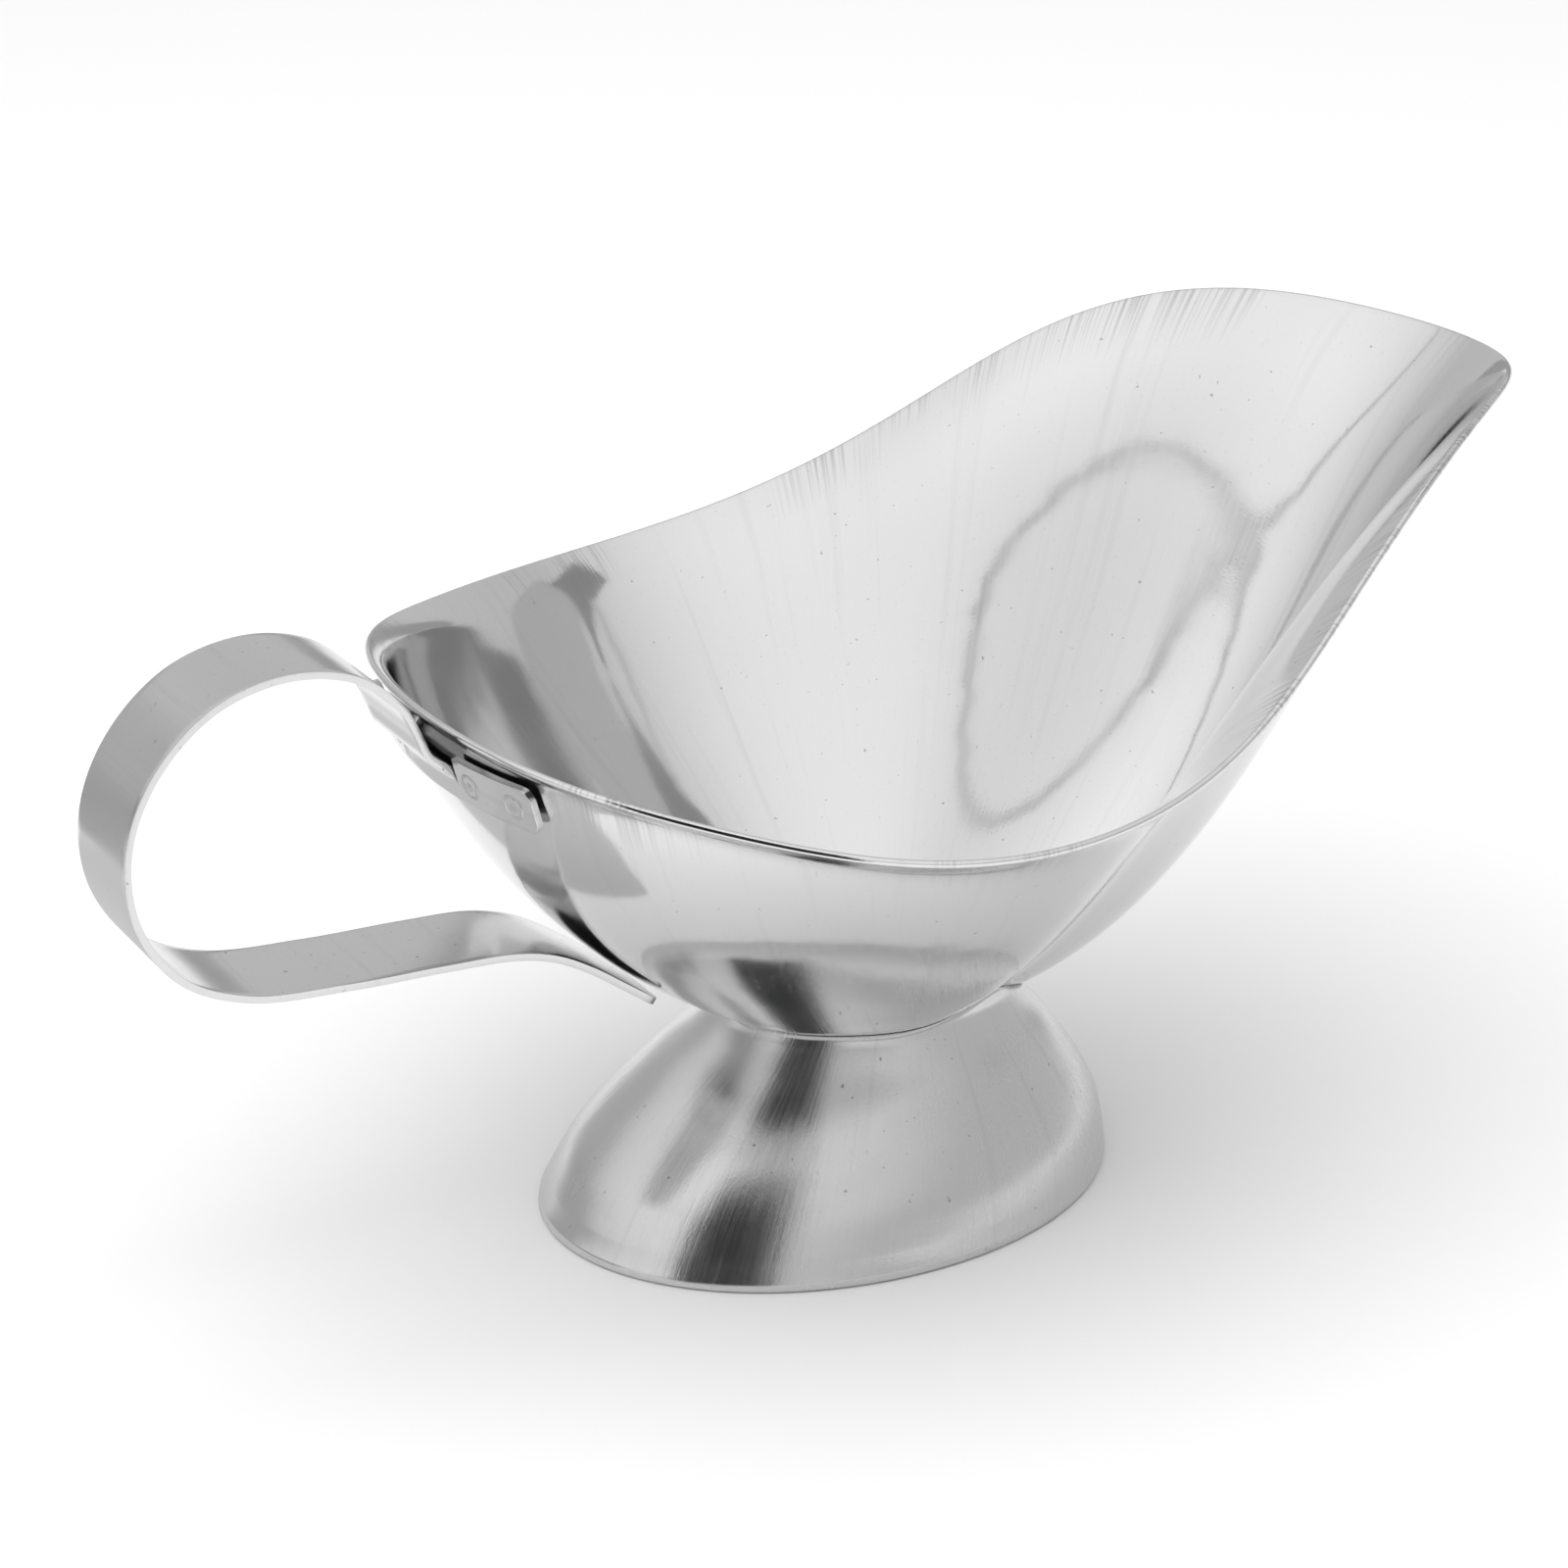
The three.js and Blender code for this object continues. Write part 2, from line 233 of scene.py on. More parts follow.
def bowl_row(share):
    """One ring of the bowl's outside: up the wall for shares to 1, along the lip from 1 to 2."""
    angle = 2 * np.pi * np.arange(AROUND) / AROUND
    reach = rim[:, :2] - np.array([BOTTOM_X, 0])
    length = np.linalg.norm(reach, axis=1)
    way = reach / length[:, None]
    lip = varying(LIP_WIDTH, angle)
    if share > 1:
        t = share - 1
        away = length - lip * (1 - t * t)
        z = rim[:, 2] - lip * (1 - t) * (LIP_RISE * (1 - t) + 2 * LIP_SLOPE * t)
    else:
        turn = share * np.pi / 2
        away = (length - lip) * np.sin(turn) ** varying(SPREAD, angle)
        climb = 1 - np.cos(turn) ** varying(CLIMB, angle)
        z = BOTTOM_Z + (rim[:, 2] - LIP_RISE * lip - BOTTOM_Z) * climb
    return np.column_stack([BOTTOM_X + way[:, 0] * away, way[:, 1] * away, z])


# how far the turn into the lip is rounded, at the stern and further at the spout
SOFT_STERN, SOFT_SPOUT, SOFT_POWER = 0.7, 6.0, 1.3
# only this far from the rim, and fading in over this much
SOFT_REACH, SOFT_FADE = 34, 16


def soft_profiles(rows):
    """Evens out the rows of the bowl and rounds the turn into its lip: tightly at the stern, and
    over a long way at the spout, where the wall runs out into the lip in one sweep."""
    pole = np.array([[BOTTOM_X, 0, BOTTOM_Z]])
    out = np.empty((UP_ROWS, AROUND, 3))
    for i in range(AROUND):
        line, total = even(np.vstack([pole, rows[:, i]]), UP_ROWS + 1, False)
        step = total / UP_ROWS
        spout = (0.5 + 0.5 * math.cos(2 * math.pi * i / AROUND)) ** SOFT_POWER
        sigma = (SOFT_STERN + SOFT_SPOUT * spout) / step
        reach = int(3 * sigma) + 1
        kernel = np.exp(-0.5 * (np.arange(-reach, reach + 1) / sigma) ** 2)
        kernel /= kernel.sum()
        past = 2 * line[-1] - line[-2:-2 - reach:-1]
        before = np.repeat(line[:1], reach, 0)
        padded = np.vstack([before, line, past])
        smooth = np.column_stack([np.convolve(padded[:, k], kernel, "valid") for k in range(3)])
        from_rim = total - np.arange(UP_ROWS + 1) * step
        near_rim = smooth_step((SOFT_REACH - from_rim) / SOFT_FADE)[:, None]
        out[:, i] = (line + (smooth - line) * near_rim)[1:]
    return out


shares = list(np.arange(1, UP_WALL + 1) / UP_WALL) + [1 + k / UP_LIP for k in range(1, UP_LIP + 1)]
outside = soft_profiles(np.array([bowl_row(s) for s in shares]))
outward = grid_normals(outside)
inside = outside - outward * SHEET
edge_way = outside[-1] - outside[-2]
edge_way /= np.linalg.norm(edge_way, axis=1, keepdims=True)
middle = (outside[-1] + inside[-1]) / 2
edge = []
for turn in np.linspace(0, np.pi, EDGE_STEPS)[1:-1]:
    arm = outward[-1] * np.cos(turn) + edge_way * np.sin(turn)
    edge.append(middle + arm * SHEET / 2)
bowl = rings_object(
    "bowl_shell", [*outside, *edge, *inside[::-1]],
    (BOTTOM_X, 0, BOTTOM_Z), (BOTTOM_X, 0, BOTTOM_Z + SHEET))
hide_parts("bowl")


def underside():
    """The lower part of the bowl's outside, for finding heights on it."""
    faces = []
    for r in range(UNDER_ROWS):
        low, high = r * AROUND, (r + 1) * AROUND
        for i in range(AROUND):
            j = (i + 1) % AROUND
            faces.append((low + i, low + j, high + j, high + i))
    pole = len(outside) * AROUND
    faces += [(pole, (i + 1) % AROUND, i) for i in range(AROUND)]
    points = [Vector(p) for p in outside.reshape(-1, 3)] + [Vector((BOTTOM_X, 0, BOTTOM_Z))]
    return BVHTree.FromPolygons(points, faces)


under = underside()


def under_bowl(x, y):
    """Height of the bowl's underside above a point."""
    hit = under.ray_cast(Vector((x, y, 0)), Vector((0, 0, 1)))
    return hit[0].z if hit[0] else FOOT_TOP


# ---- foot ----

foot_line = catmull(FOOT_PROFILE, FOOT_SPAN, False)
foot_line = np.vstack([foot_line, [foot_line[-1, 0] - FOOT_TOP_IN, FOOT_TOP]])
CREASE, CREASE_Z = FOOT_PROFILE[0]
# share of the oval, inset and height of the rings below the sides: a soft crease, the sloping
# band, the thin cut edge, the flat ring that stands on the table, and its inner corner
FOOT_EDGE = [
    (CREASE + 0.0030, 0.0, 3.1),
    (CREASE + 0.0058, 0.0, 2.8),
    (CREASE + 0.0105, 0.0, 2.3),
    (CREASE + 0.0165, 0.0, 1.7),
    (CREASE + 0.0225, 0.0, 1.15),
    (0.9985, 0.0, 1.0),
    (1.0, 0.0, 0.86),
    (1.0, 0.0, 0.5),
    (1.0, 0.0, 0.2),
    (1.0, 0.12, 0.04),
    (1.0, 0.35, 0.0),
    (1.0, RING_WIDTH - 0.3, 0.0),
    (1.0, RING_WIDTH - 0.06, 0.06),
    (1.0, RING_WIDTH, 0.3),
    (1.0, RING_WIDTH, RING_THICK - 0.25),
    (1.0, RING_WIDTH - 0.15, RING_THICK),
    (1.0, FOOT_WALL + 0.5, RING_THICK + 0.02),
    (0.995, FOOT_WALL + 0.08, RING_THICK + 0.35),
    (0.983, FOOT_WALL, 2.5),
]
PANEL_OUT, PANEL_IN = (0.12, 0.3, 0.5, 0.7, 0.85, 0.96), (0.95, 0.8, 0.6, 0.4, 0.2)
SIDE_OUT, SIDE_IN = 30, 24
NECK_LOWEST, HALVINGS = 8.0, 30


def foot_share(z):
    return np.interp(z, foot_line[:, 1], foot_line[:, 0])


def foot_point(share, inset, z, i):
    angle = 2 * math.pi * i / FOOT_AROUND
    x = (FOOT_X * share - inset) * math.cos(angle) + NECK_SHIFT * z / NECK_Z
    return (x, (FOOT_Y * share - inset) * math.sin(angle), z)


def neck_height(i, inset, gap):
    """Where the foot's side meets the bowl's underside."""
    low, high = NECK_LOWEST, FOOT_TOP
    for _ in range(HALVINGS):
        z = (low + high) / 2
        x, y, _z = foot_point(foot_share(z), inset, z, i)
        if z > under_bowl(x, y) - gap:
            high = z
        else:
            low = z
    return low


def foot_skin(inset, gap):
    """Ring makers of one skin of the foot: its panel under the bowl, and its side. share goes
    from the panel's middle to the neck, and t from the crease up to the neck."""
    neck = [neck_height(i, inset, gap) for i in range(FOOT_AROUND)]

    def panel(share):
        ring = []
        for i, z in enumerate(neck):
            x, y, _z = foot_point(foot_share(z), inset, z, i)
            x = BOTTOM_X + (x - BOTTOM_X) * share
            ring.append((x, y * share, under_bowl(x, y * share) - gap))
        return ring

    def side(t):
        ring = []
        for i, top in enumerate(neck):
            z = CREASE_Z + (top - CREASE_Z) * t
            ring.append(foot_point(foot_share(z), inset, z, i))
        return ring

    return panel, side


def foot_rings():
    """The foot from the middle of its panel, down outside and up inside."""
    panel_out, side_out = foot_skin(0, WELD_GAP)
    panel_in, side_in = foot_skin(FOOT_WALL, WELD_GAP + SHEET)
    rings = [panel_out(share) for share in PANEL_OUT]
    rings += [side_out(k / SIDE_OUT) for k in range(SIDE_OUT, 0, -1)]
    rings += [[foot_point(*ring, i) for i in range(FOOT_AROUND)] for ring in FOOT_EDGE]
    rings += [side_in(k / SIDE_IN) for k in range(SIDE_IN + 1)]
    rings += [panel_in(share) for share in PANEL_IN]
    return rings


foot = rings_object(
    "foot_shell", foot_rings(),
    (BOTTOM_X, 0, BOTTOM_Z - WELD_GAP), (BOTTOM_X, 0, BOTTOM_Z - WELD_GAP - SHEET))
# the skin above was drawn from the top down, so its faces are turned round
foot.data.flip_normals()
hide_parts("foot")


# ---- handle ----

path, path_length = even(catmull(HANDLE_PATH, PATH_SPAN, False), PATH_STEPS, False)
path_s = np.linspace(0, path_length, len(path))
TAB_HEIGHT = TAB_TOP - TAB_BOTTOM
TAB_MIDDLE = (TAB_TOP + TAB_BOTTOM) / 2


def strip_point(s, y):
    """A point of the strip's middle sheet, s along it from the tab's lower edge."""
    x = np.interp(s, path_s, path[:, 0])
    z = np.interp(s, path_s, path[:, 1])
    curl = 1 - smooth_step((s - JOINED) / CURL_END)
    return (x + y * y / (2 * TAB_RADIUS) * curl, y, z)


def tab_x(y, z):
    """x of the tab's inner face, which leans and wraps the stern."""
    return TAB_FACE + TAB_LEAN * (TAB_TOP - z) + y * y / (2 * TAB_RADIUS)


def wing_point(s, y):
    """A point of a wing's middle sheet, s up it from its lower edge, with rounded corners."""
    past = max(0.0, abs(y) - (TAB_REACH - TAB_CORNER)) / TAB_CORNER
    half = TAB_HEIGHT / 2 - TAB_CORNER + TAB_CORNER * math.sqrt(1 - past ** 2)
    z = TAB_MIDDLE + (s / TAB_HEIGHT - 0.5) * 2 * half
    return (tab_x(y, z) - STRIP / 2, y, z)


def tail_half(s):
    """The strip's half width, with the tail's corners rounded."""
    past = np.clip((s - (path_length - TAIL_CORNER)) / TAIL_CORNER, 0, 0.98)
    return STRIP_WIDTH / 2 - TAIL_CORNER + TAIL_CORNER * math.sqrt(1 - past ** 2)


# the columns across the strip and out along a wing, and the rows along each
WING_START, WING_CORNER = STRIP_WIDTH / 2 + 0.25, TAB_REACH - TAB_CORNER
ACROSS = np.linspace(-STRIP_WIDTH / 2, STRIP_WIDTH / 2, 15)
WING = np.r_[np.linspace(WING_START, WING_CORNER, 16),
             WING_CORNER + TAB_CORNER * np.sin(np.linspace(0, 1.48, 9)[1:])]
JOINED_ROWS = np.linspace(0, JOINED, 4)
TAB_ROWS = np.linspace(JOINED, TAB_HEIGHT, 5)
BENT_END = 14
STRIP_ROWS = np.r_[np.linspace(JOINED, BENT_END, 30), np.linspace(BENT_END, path_length, 150)[1:]]


def handle_mesh():
    """The middle sheet of the strip and of the tab's two wings, joined along the strip's start."""
    points, faces, uv = [], [], []

    def add(p, u, v):
        points.append(p)
        uv.append((u * MM, v * MM))
        return len(points) - 1

    middle_rows = []
    for s in np.r_[JOINED_ROWS, STRIP_ROWS[1:]]:
        narrow = tail_half(s) / (STRIP_WIDTH / 2)
        middle_rows.append([add(strip_point(s, y * narrow), s, y) for y in ACROSS])
    for a, b in zip(middle_rows, middle_rows[1:]):
        faces += [(a[k], a[k + 1], b[k + 1], b[k]) for k in range(len(ACROSS) - 1)]
    for sign in (-1, 1):
        rows = []
        for s in np.r_[JOINED_ROWS, TAB_ROWS[1:]]:
            rows.append([add(wing_point(s, sign * y), s, sign * y) for y in WING])
        quads = []
        for r, (a, b) in enumerate(zip(rows, rows[1:])):
            quads += [(a[k], a[k + 1], b[k + 1], b[k]) for k in range(len(WING) - 1)]
            if r < len(JOINED_ROWS) - 1:
                column = len(ACROSS) - 1 if sign > 0 else 0
                quads.append((middle_rows[r][column], a[0], b[0], middle_rows[r + 1][column]))
        faces += [quad[::sign] for quad in quads]
    return points, faces, uv


handle = mesh_object("handle_strip", *handle_mesh())
solid = handle.modifiers.new("thickness", "SOLIDIFY")
solid.thickness = STRIP
solid.offset = 0
solid.use_even_offset = True
round_edges = handle.modifiers.new("edges", "BEVEL")
round_edges.width = EDGE_ROUND
round_edges.segments = 3
round_edges.limit_method = "ANGLE"
round_edges.angle_limit = math.radians(50)
round_edges.harden_normals = False
apply(handle)
handle.data.shade_smooth()
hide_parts("handle")


# ---- spot weld marks ----

def weld_mark(joint, place_name, at, out):
    """A shallow crater with a raised ring, at a point on a surface and facing out. It takes the
    place of the CAD's button for the same weld."""
    out = Vector(out).normalized()
    side = out.orthogonal().normalized()
    over = out.cross(side)
    rings = []
    for share, height in WELD_PROFILE:
        ring = []
        for i in range(WELD_AROUND):
            a = 2 * math.pi * i / WELD_AROUND
            arm = (side * math.cos(a) + over * math.sin(a)) * share * WELD_RADIUS
            ring.append(tuple(Vector(at) + arm + out * height))
        rings.append(ring)
    start = tuple(Vector(at) - out * WELD_BACK)
    end = tuple(Vector(at) + out * WELD_MIDDLE)
    mark = rings_object(f"{joint}_mark_{place_name}", rings, start, end)
    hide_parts(f"{joint}_weld_{place_name}")
    return mark


marks = []
for side_name, sign in (("left", 1), ("right", -1)):
    for place_name, y in TAB_WELD_Y.items():
        out = Vector((-TAB_RADIUS, sign * y, -TAB_LEAN * TAB_RADIUS)).normalized()
        sheet = Vector((tab_x(y, TAB_MIDDLE) - STRIP / 2, sign * y, TAB_MIDDLE))
        marks.append(weld_mark("tab", f"{side_name}_{place_name}", sheet + out * STRIP / 2, out))
    for place_name, x in FOOT_WELD_X.items():
        y = sign * FOOT_WELD_Y
        at = (x, y, under_bowl(x, y) - WELD_GAP - SHEET)
        marks.append(weld_mark("foot", f"{side_name}_{place_name}", at, (0, 0, -1)))
for place_name, share in TAIL_WELD_SHARE.items():
    k = int(share * (len(path) - 1))
    way = path[k + 1] - path[k - 1]
    way /= np.linalg.norm(way)
    out = Vector((way[1], 0, -way[0]))
    if out.z > 0:
        out = -out
    at = Vector((path[k, 0], 0, path[k, 1])) + out * STRIP / 2
    marks.append(weld_mark("tail", place_name, at, out))


# ---- materials ----

# metres from the rim within which it is rubbed, fading from the first to the second
RUB_NEAR, RUB_FAR = 0.0015, 0.008
# scales of the marks, in waves to a metre
SMUDGE, PATCH, WOBBLE, SPECK, PIT = 42.0, 13.0, 70.0, 2600.0, 1300.0


class Nodes:
    """Short calls for building a node tree."""

    def __init__(self, name):
        self.material = bpy.data.materials.new(name)
        self.material.use_nodes = True
        self.tree = self.material.node_tree
        self.shader = self.tree.nodes["Principled BSDF"]

    def add(self, kind, inputs=(), **settings):
        node = self.tree.nodes.new(kind)
        for key, value in settings.items():
            setattr(node, key, value)
        for key, value in dict(inputs).items():
            self.put(node, key, value)
        return node

    def put(self, node, key, value):
        if isinstance(value, bpy.types.NodeSocket):
            self.tree.links.new(value, node.inputs[key])
        else:
            node.inputs[key].default_value = value

    def noise(self, vector, scale, detail=3.0, rough=0.5):
        return self.add("ShaderNodeTexNoise", {
            "Vector": vector, "Scale": scale, "Detail": detail, "Roughness": rough,
        }).outputs["Fac"]

    def stretch(self, vector, scale):
        return self.add("ShaderNodeMapping", {"Vector": vector, "Scale": scale}).outputs["Vector"]

    def span(self, value, low, high, to_low, to_high):
        return self.add("ShaderNodeMapRange", {
            "Value": value, "From Min": low, "From Max": high, "To Min": to_low, "To Max": to_high,
        }).outputs["Result"]

    def math(self, kind, a, b):
        return self.add("ShaderNodeMath", {0: a, 1: b}, operation=kind).outputs[0]

    def mix(self, fac, a, b):
        node = self.add("ShaderNodeMix", data_type="RGBA")
        self.put(node, 0, fac)
        self.put(node, 6, a)
        self.put(node, 7, b)
        return node.outputs[2]

    def bump(self, height, distance, normal=None):
        node = self.add("ShaderNodeBump", {"Height": height, "Strength": 1.0, "Distance": distance})
        if normal is not None:
            self.put(node, "Normal", normal)
        return node.outputs["Normal"]


def grey(level):
    return (level, level, level, 1)


def rubbed(n, uv, grain, rim_v):
    """Patches of short strokes across the rim, 1 where the steel is rubbed."""
    v = n.add("ShaderNodeSeparateXYZ", {0: uv}).outputs["Y"]
    from_rim = n.math("ABSOLUTE", n.math("SUBTRACT", v, rim_v), 0)
    near = n.span(from_rim, RUB_NEAR, RUB_FAR, 1, 0)
    patches = n.span(n.noise(n.stretch(uv, (45, 30, 1)), 1.0, 2.0, 0.5), 0.47, 0.60, 0, 1)
    strokes = n.noise(n.stretch(uv, (grain * 1.4, 22, 1)), 1.0, 2.0, 0.5)
    strokes = n.span(strokes, 0.47, 0.66, 0, 1)
    return n.math("MULTIPLY", n.math("MULTIPLY", near, patches), strokes)


def steel(name, level, roughness, spread, grain, scratch, wave, pits, rim_v=None):
    """Stainless sheet. grain is how many fine lines there are to a metre of u, scratch and wave are
    depths in metres, there are more pits the higher pits is, and rim_v is the v of a rim that has
    been rubbed across."""
    n = Nodes(name)
    uv = n.add("ShaderNodeUVMap", uv_map="surface").outputs["UV"]
    at = n.add("ShaderNodeTexCoord").outputs["Object"]
    fine = n.noise(n.stretch(uv, (grain, grain * 0.03, 1)), 1.0, 4.0, 0.6)
    coarse = n.noise(n.stretch(uv, (grain * 0.28, grain * 0.01, 1)), 1.0, 3.0, 0.55)
    smudge = n.noise(at, SMUDGE, 5.0, 0.6)
    patch = n.noise(at, PATCH, 2.0, 0.5)
    speck = n.noise(at, SPECK, 2.0, 0.6)
    spots = n.span(n.noise(at, PIT, 1.0, 0.4), 0.76 - pits, 0.82 - pits, 0, 1)
    depth = n.math("ADD", fine, n.math("MULTIPLY", coarse, 0.7))
    rough = n.span(smudge, 0.35, 0.68, roughness, roughness + spread)
    rough = n.math("ADD", rough, n.span(fine, 0.35, 0.75, 0.0, spread * 0.7))
    tint = n.mix(n.span(patch, 0.35, 0.65, 0, 1), grey(level), grey(level * 0.93))
    tint = n.mix(n.span(coarse, 0.56, 0.74, 0, 0.4), tint, grey(level * 0.82))
    tint = n.mix(n.span(speck, 0.62, 0.75, 0, 0.3), tint, grey(level * 0.75))
    tint = n.mix(n.math("MULTIPLY", spots, 0.6), tint, grey(level * 0.35))
    if rim_v is not None:
        rub = rubbed(n, uv, grain, rim_v)
        rough = n.math("ADD", rough, n.math("MULTIPLY", rub, 0.16))
        tint = n.mix(n.math("MULTIPLY", rub, 0.7), tint, grey(level * 0.55))
        depth = n.math("ADD", depth, n.math("MULTIPLY", rub, 3.0))
    n.put(n.shader, "Base Color", tint)
    n.put(n.shader, "Roughness", rough)
    n.shader.inputs["Metallic"].default_value = 1.0
    normal = n.bump(patch, wave)
    normal = n.bump(n.noise(at, WOBBLE, 2.0, 0.45), wave * 0.3, normal)
    normal = n.bump(depth, scratch, normal)
    pitted = n.math("SUBTRACT", speck, n.math("MULTIPLY", spots, 1.5))
    n.put(n.shader, "Normal", n.bump(pitted, scratch * 0.8, normal))
    return n.material


# the bowl's v runs up the outside and down the inside, so its rim is at about half of the longest v
bowl_rim_v = max(v.uv[1] for v in bowl.data.uv_layers["surface"].data) / 2
polished = steel(
    "polished_steel", 0.76, roughness=0.05, spread=0.06, grain=1500.0,
    scratch=0.0000022, wave=0.00035, pits=0.0, rim_v=bowl_rim_v)
satin = steel(
    "satin_steel", 0.67, roughness=0.18, spread=0.10, grain=1800.0,
    scratch=0.000010, wave=0.0003, pits=0.015)
strip = steel(
    "strip_steel", 0.72, roughness=0.12, spread=0.09, grain=2200.0,
    scratch=0.000005, wave=0.0002, pits=0.02)
dull = steel(
    "weld_steel", 0.62, roughness=0.22, spread=0.12, grain=1500.0,
    scratch=0.000010, wave=0.0001, pits=0.08)


def dress(obj, material):
    place(obj)
    obj.data.materials.clear()
    obj.data.materials.append(material)
    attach(obj, "root")


dress(bowl, polished)
dress(foot, satin)
dress(handle, strip)
for mark in marks:
    dress(mark, dull)


# ---- floor, light and camera ----

# angles in degrees, azimuth 0 towards -y and 90 towards +x; lengths in metres
CAMERA_AZIMUTH, CAMERA_ELEVATION, CAMERA_DISTANCE = -30, 22.714, 0.4264
CAMERA_SENSOR, CAMERA_LENS = 36, 90.02  # millimetres
TARGET = Vector((-0.00528, 0, 0.04857)) + shift
STAGE_MIDDLE = Vector((0, 0, 0.05))
FLOOR_HALF, FLOOR_Z, FLOOR_GREY = 4, -0.0002, 0.90
# a grey sheet lying on the floor behind the handle
LAID_X, LAID_Y, LAID_Z, LAID_GREY = (-0.16, -0.05), (-0.01, 0.14), 0.001, 0.55
# azimuth, elevation, distance, size and power of each light
LIGHTS = {
    "top_light": (0, 88, 1.1, 1.2, 5.2),
    "front_light": (-60, 50, 1.3, 1.2, 3.0),
}
# azimuth, elevation, distance, width, height and grey of each card
CARDS = {
    "card_camera": (-48, 9, 0.135, 0.09, 0.158, 0.008),
    "card_right_high": (70, 53, 0.9, 0.26, 0.22, 0.30),
    "card_right": (78, 36, 0.9, 0.34, 0.34, 0.50),
    "card_left_low": (-118, 3, 0.95, 0.9, 0.20, 0.30),
    "card_handle": (-158, 8, 0.8, 0.5, 0.45, 0.50),
    "card_handle_low": (-138, -8, 0.214, 0.13, 0.09, 0.45),
    "card_spout_low": (135, 6, 0.95, 1.1, 0.16, 0.35),
}
# the tent is brightest in this direction, and fades to an even grey where the cosine of the angle
# off it reaches TENT_FADE
BRIGHT_AZIMUTH, BRIGHT_ELEVATION = -70, 60
TENT_BRIGHT, TENT_GREY, TENT_FADE = 1.10, 0.62, 0.3
# its seam is a ring this many degrees round its crown
CROWN_AZIMUTH, CROWN_ELEVATION, SEAM_ROUND, SEAM_WIDTH = -51, 78, 45, 1.5
SEAM_MIDDLE, SEAM_FAR, SEAM_GREY, SEAM_STEPS = Vector((0, 0, 0.06)), 0.9, 0.60, 240


def direction(azimuth, elevation):
    a, e = math.radians(azimuth), math.radians(elevation)
    return Vector((math.sin(a) * math.cos(e), -math.cos(a) * math.cos(e), math.sin(e)))


def plain(name, level):
    """A dull even material."""
    n = Nodes(name)
    n.put(n.shader, "Base Color", grey(level))
    n.put(n.shader, "Roughness", 0.9)
    return n.material


def flat(name, corners, level):
    """A stage piece of one face."""
    obj = mesh_object(name, corners, [(0, 1, 2, 3)])
    obj.data.materials.append(plain(name, level))
    return obj


def level_corners(x, y, z):
    """Corners of a level rectangle, from its two values of x and of y."""
    return [(x[0], y[0], z), (x[1], y[0], z), (x[1], y[1], z), (x[0], y[1], z)]


def area(name, azimuth, elevation, distance, size, power):
    """A square light that the steel doesn't mirror."""
    data = bpy.data.lights.new(name, "AREA")
    data.energy = power
    data.shape = "RECTANGLE"
    data.size = size
    data.size_y = size
    obj = bpy.data.objects.new(name, data)
    bpy.context.scene.collection.objects.link(obj)
    way = direction(azimuth, elevation)
    obj.location = STAGE_MIDDLE + way * distance
    obj.rotation_euler = way.to_track_quat("Z", "Y").to_euler()
    obj.visible_glossy = False


def only_mirrored(obj):
    """Keeps a stage piece out of the picture and out of the light; only the steel sees it."""
    obj.visible_camera = False
    obj.visible_shadow = False
    obj.visible_diffuse = False


def card(name, azimuth, elevation, distance, width, height, level):
    """A flat card that the steel mirrors."""
    way = direction(azimuth, elevation)
    turn = way.to_track_quat("Z", "Y")
    centre = STAGE_MIDDLE + way * distance
    x, y = (-width / 2, width / 2), (-height / 2, height / 2)
    only_mirrored(flat(name, [centre + turn @ Vector(c) for c in level_corners(x, y, 0)], level))


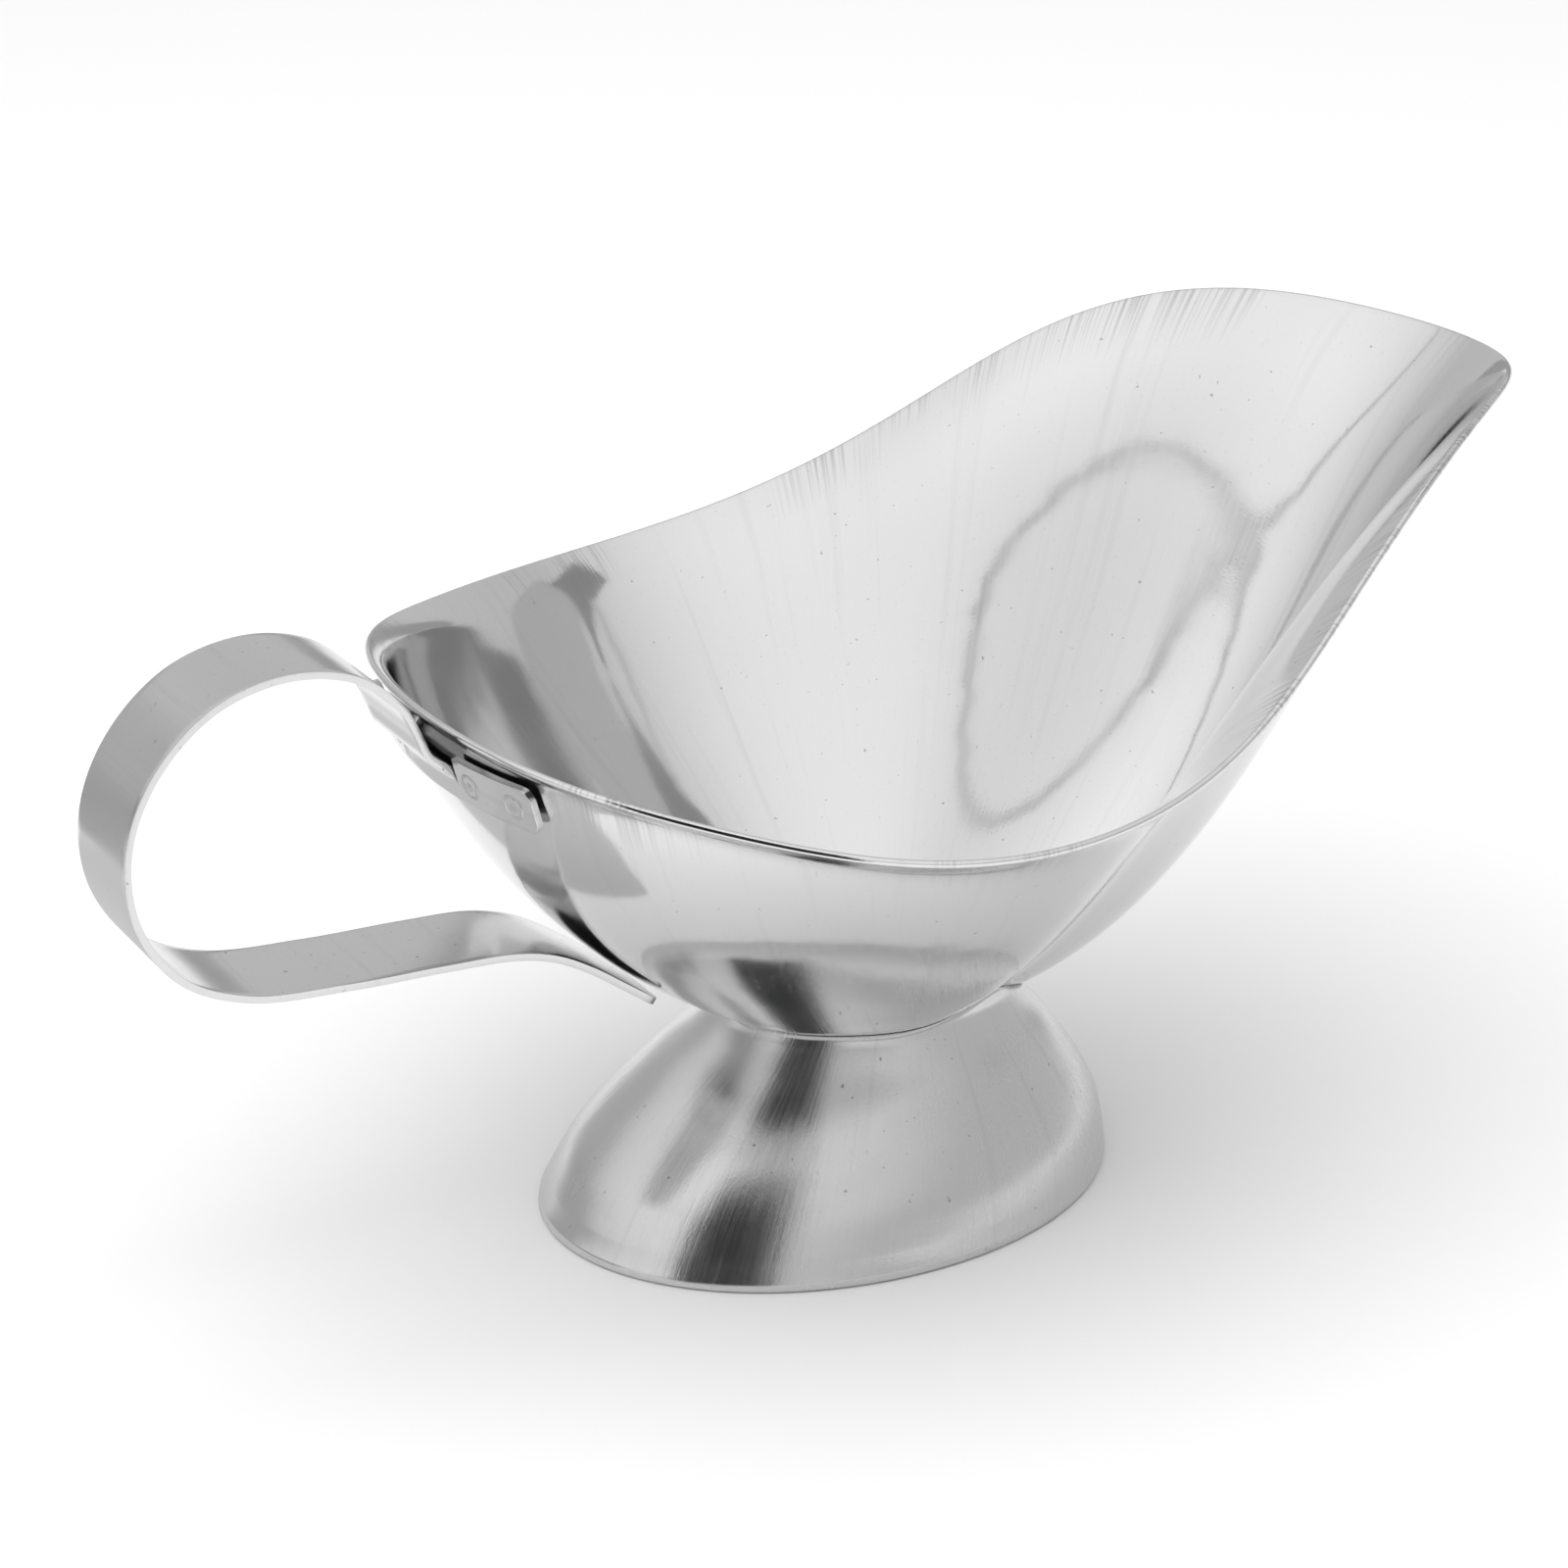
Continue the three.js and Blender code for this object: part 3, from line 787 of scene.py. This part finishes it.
def tent():
    """The world: a pale tent that is brightest high up on the camera's left."""
    world = bpy.data.worlds.new("tent")
    world.use_nodes = True
    tree = world.node_tree
    where = tree.nodes.new("ShaderNodeTexCoord")
    facing = tree.nodes.new("ShaderNodeVectorMath")
    facing.operation = "DOT_PRODUCT"
    facing.inputs[1].default_value = direction(BRIGHT_AZIMUTH, BRIGHT_ELEVATION)
    tone = tree.nodes.new("ShaderNodeMapRange")
    tone.inputs["From Min"].default_value = TENT_FADE
    tone.inputs["To Min"].default_value = TENT_GREY
    tone.inputs["To Max"].default_value = TENT_BRIGHT
    tree.links.new(where.outputs["Generated"], facing.inputs[0])
    tree.links.new(facing.outputs["Value"], tone.inputs["Value"])
    tree.links.new(tone.outputs["Result"], tree.nodes["Background"].inputs["Color"])
    return world


def seam(name):
    """A thin grey ring in the tent."""
    crown = direction(CROWN_AZIMUTH, CROWN_ELEVATION)
    side = crown.cross(Vector((0, 1, 0))).normalized()
    up = crown.cross(side)
    points, faces = [], []
    for k in range(SEAM_STEPS):
        turn = 2 * math.pi * k / SEAM_STEPS
        out = side * math.cos(turn) + up * math.sin(turn)
        for edge in (-0.5, 0.5):
            angle = math.radians(SEAM_ROUND + edge * SEAM_WIDTH)
            way = crown * math.cos(angle) + out * math.sin(angle)
            points.append(SEAM_MIDDLE + way * SEAM_FAR)
        ahead = 2 * ((k + 1) % SEAM_STEPS)
        faces.append((2 * k, ahead, ahead + 1, 2 * k + 1))
    obj = mesh_object(name, points, faces)
    obj.data.materials.append(plain(name, SEAM_GREY))
    only_mirrored(obj)


floor_span = (-FLOOR_HALF, FLOOR_HALF)
floor = flat("floor", level_corners(floor_span, floor_span, FLOOR_Z), FLOOR_GREY)
for name, (azimuth, elevation, distance, size, power) in LIGHTS.items():
    area(name, azimuth, elevation, distance, size, power)
scene = bpy.context.scene
scene.world = tent()
scene.view_settings.view_transform = "Standard"
seam("seam_ring")
for name, (azimuth, elevation, distance, width, height, level) in CARDS.items():
    card(name, azimuth, elevation, distance, width, height, level)
only_mirrored(flat("floor_sheet", level_corners(LAID_X, LAID_Y, LAID_Z), LAID_GREY))

camera_data = bpy.data.cameras.new("camera")
camera_data.sensor_width = CAMERA_SENSOR
camera_data.lens = CAMERA_LENS
camera = bpy.data.objects.new("camera", camera_data)
scene.collection.objects.link(camera)
view = direction(CAMERA_AZIMUTH, CAMERA_ELEVATION)
camera.location = TARGET + view * CAMERA_DISTANCE
camera.rotation_euler = view.to_track_quat("Z", "Y").to_euler()
scene.camera = camera
